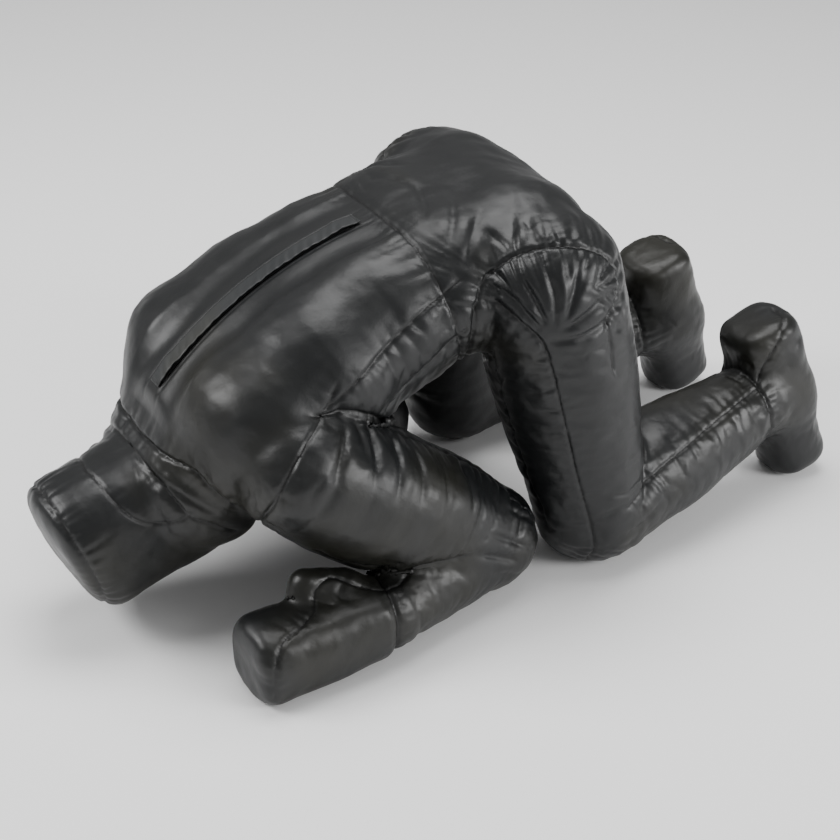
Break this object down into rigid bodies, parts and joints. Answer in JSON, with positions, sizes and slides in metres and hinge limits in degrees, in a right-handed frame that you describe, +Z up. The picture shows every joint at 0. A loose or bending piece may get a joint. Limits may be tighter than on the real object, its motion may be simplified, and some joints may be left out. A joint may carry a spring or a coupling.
{
  "type": "grappling dummy",
  "caption": "Stuffed human-shaped grappling dummy in black synthetic leather, kneeling on knees, elbows and fists, with flexing joints and a zipped back.",
  "frame": {"origin": "middle of the bounding box, on the floor it kneels on", "axes": "+Z up, head towards -Y and feet towards +Y, the dummy's left side towards +X"},
  "size_m": [0.682, 1.2876, 0.5912],
  "materials": {
    "cover": "black thin synthetic leather, satin with soft highlights, gathered at the seams",
    "filling": "tightly packed shredded textile",
    "zip_tape": "black woven tape",
    "zip_teeth": "black moulded coil",
    "zip_metal": "blackened die-cast slider"
  },
  "bodies": {
    "torso": {"torso_filling": "filling", "back_panel_left": "cover", "back_panel_right": "cover", "side_panel_left": "cover", "side_panel_right": "cover", "belly_panel": "cover", "zip_tape_left": "zip_tape", "zip_tape_right": "zip_tape", "zip_teeth": "zip_teeth"},
    "zip_slider": {"zip_slider": "zip_metal"},
    "zip_flap": {"zip_flap": "cover"},
    "pelvis": {"pelvis_filling": "filling", "seat_panel": "cover", "crotch_panel": "cover"},
    "head": {"head_filling": "filling", "crown_panel": "cover", "neck_collar": "cover", "nape_panel": "cover", "face_panel": "cover"},
    "upper_arm_left": {"upper_arm_filling_left": "filling", "upper_arm_outer_panel_left": "cover", "upper_arm_inner_panel_left": "cover"},
    "upper_arm_right": {"upper_arm_filling_right": "filling", "upper_arm_outer_panel_right": "cover", "upper_arm_inner_panel_right": "cover"},
    "forearm_left": {"forearm_filling_left": "filling", "forearm_upper_panel_left": "cover", "forearm_lower_panel_left": "cover"},
    "forearm_right": {"forearm_filling_right": "filling", "forearm_upper_panel_right": "cover", "forearm_lower_panel_right": "cover"},
    "hand_left": {"hand_filling_left": "filling", "hand_back_panel_left": "cover", "hand_palm_panel_left": "cover"},
    "hand_right": {"hand_filling_right": "filling", "hand_back_panel_right": "cover", "hand_palm_panel_right": "cover"},
    "thigh_left": {"thigh_filling_left": "filling", "thigh_outer_panel_left": "cover", "thigh_inner_panel_left": "cover"},
    "thigh_right": {"thigh_filling_right": "filling", "thigh_outer_panel_right": "cover", "thigh_inner_panel_right": "cover"},
    "shin_left": {"shin_filling_left": "filling", "shin_outer_panel_left": "cover", "shin_inner_panel_left": "cover"},
    "shin_right": {"shin_filling_right": "filling", "shin_outer_panel_right": "cover", "shin_inner_panel_right": "cover"},
    "foot_left": {"foot_filling_left": "filling", "foot_upper_left": "cover", "foot_sole_left": "cover"},
    "foot_right": {"foot_filling_right": "filling", "foot_upper_right": "cover", "foot_sole_right": "cover"}
  },
  "joints": [
    {"name": "neck_nod", "type": "hinge", "parent": "torso", "child": "head", "pos_m": [0, -0.418, 0.192], "axis": [-1, 0, 0], "range_deg": [-10, 10], "stiffness_Nm_per_rad": 250},
    {"name": "waist_bend", "type": "hinge", "parent": "torso", "child": "pelvis", "pos_m": [0, 0.019, 0.48], "axis": [1, 0, 0], "range_deg": [0, 8], "stiffness_Nm_per_rad": 2500},
    {"name": "shoulder_left", "type": "hinge", "parent": "torso", "child": "upper_arm_left", "pos_m": [0.196, -0.316, 0.292], "axis": [0, -1, 0], "range_deg": [0, 30], "stiffness_Nm_per_rad": 600},
    {"name": "elbow_left", "type": "hinge", "parent": "upper_arm_left", "child": "forearm_left", "pos_m": [0.2, -0.014, 0.082], "axis": [0.8526, 0.2906, 0.4342], "range_deg": [0, 10], "stiffness_Nm_per_rad": 400},
    {"name": "wrist_left", "type": "hinge", "parent": "forearm_left", "child": "hand_left", "pos_m": [0.277, -0.213, 0.064], "axis": [-1, 0, 0], "range_deg": [-6, 15], "stiffness_Nm_per_rad": 120},
    {"name": "hip_left", "type": "hinge", "parent": "pelvis", "child": "thigh_left", "pos_m": [0.161, 0.108, 0.465], "axis": [1, 0, 0], "range_deg": [0, 25], "stiffness_Nm_per_rad": 1200},
    {"name": "knee_left", "type": "hinge", "parent": "thigh_left", "child": "shin_left", "pos_m": [0.211, 0.177, 0.085], "axis": [1, 0, 0], "range_deg": [-5, 25], "stiffness_Nm_per_rad": 700},
    {"name": "ankle_left", "type": "hinge", "parent": "shin_left", "child": "foot_left", "pos_m": [0.167, 0.51, 0.151], "axis": [1, 0, 0], "range_deg": [-8, 13], "stiffness_Nm_per_rad": 150},
    {"name": "shoulder_right", "type": "hinge", "parent": "torso", "child": "upper_arm_right", "pos_m": [-0.196, -0.316, 0.292], "axis": [0, 1, 0], "range_deg": [0, 30], "stiffness_Nm_per_rad": 600},
    {"name": "elbow_right", "type": "hinge", "parent": "upper_arm_right", "child": "forearm_right", "pos_m": [-0.2, -0.014, 0.082], "axis": [0.8526, -0.2906, -0.4342], "range_deg": [0, 10], "stiffness_Nm_per_rad": 400},
    {"name": "wrist_right", "type": "hinge", "parent": "forearm_right", "child": "hand_right", "pos_m": [-0.277, -0.213, 0.064], "axis": [-1, 0, 0], "range_deg": [-6, 15], "stiffness_Nm_per_rad": 120},
    {"name": "hip_right", "type": "hinge", "parent": "pelvis", "child": "thigh_right", "pos_m": [-0.161, 0.108, 0.465], "axis": [1, 0, 0], "range_deg": [0, 25], "stiffness_Nm_per_rad": 1200},
    {"name": "knee_right", "type": "hinge", "parent": "thigh_right", "child": "shin_right", "pos_m": [-0.211, 0.177, 0.085], "axis": [1, 0, 0], "range_deg": [-5, 25], "stiffness_Nm_per_rad": 700},
    {"name": "ankle_right", "type": "hinge", "parent": "shin_right", "child": "foot_right", "pos_m": [-0.167, 0.51, 0.151], "axis": [1, 0, 0], "range_deg": [-8, 13], "stiffness_Nm_per_rad": 150},
    {"name": "flap_lift", "type": "hinge", "parent": "torso", "child": "zip_flap", "pos_m": [-0.0155, -0.29636, 0.48845], "axis": [0, -0.8746, -0.4848], "range_deg": [0, 60]},
    {"name": "slider_run", "type": "hinge", "parent": "torso", "child": "zip_slider", "pos_m": [0, 0.00073, -0.04752], "axis": [-1, 0, 0], "range_deg": [0, 30]}
  ]
}
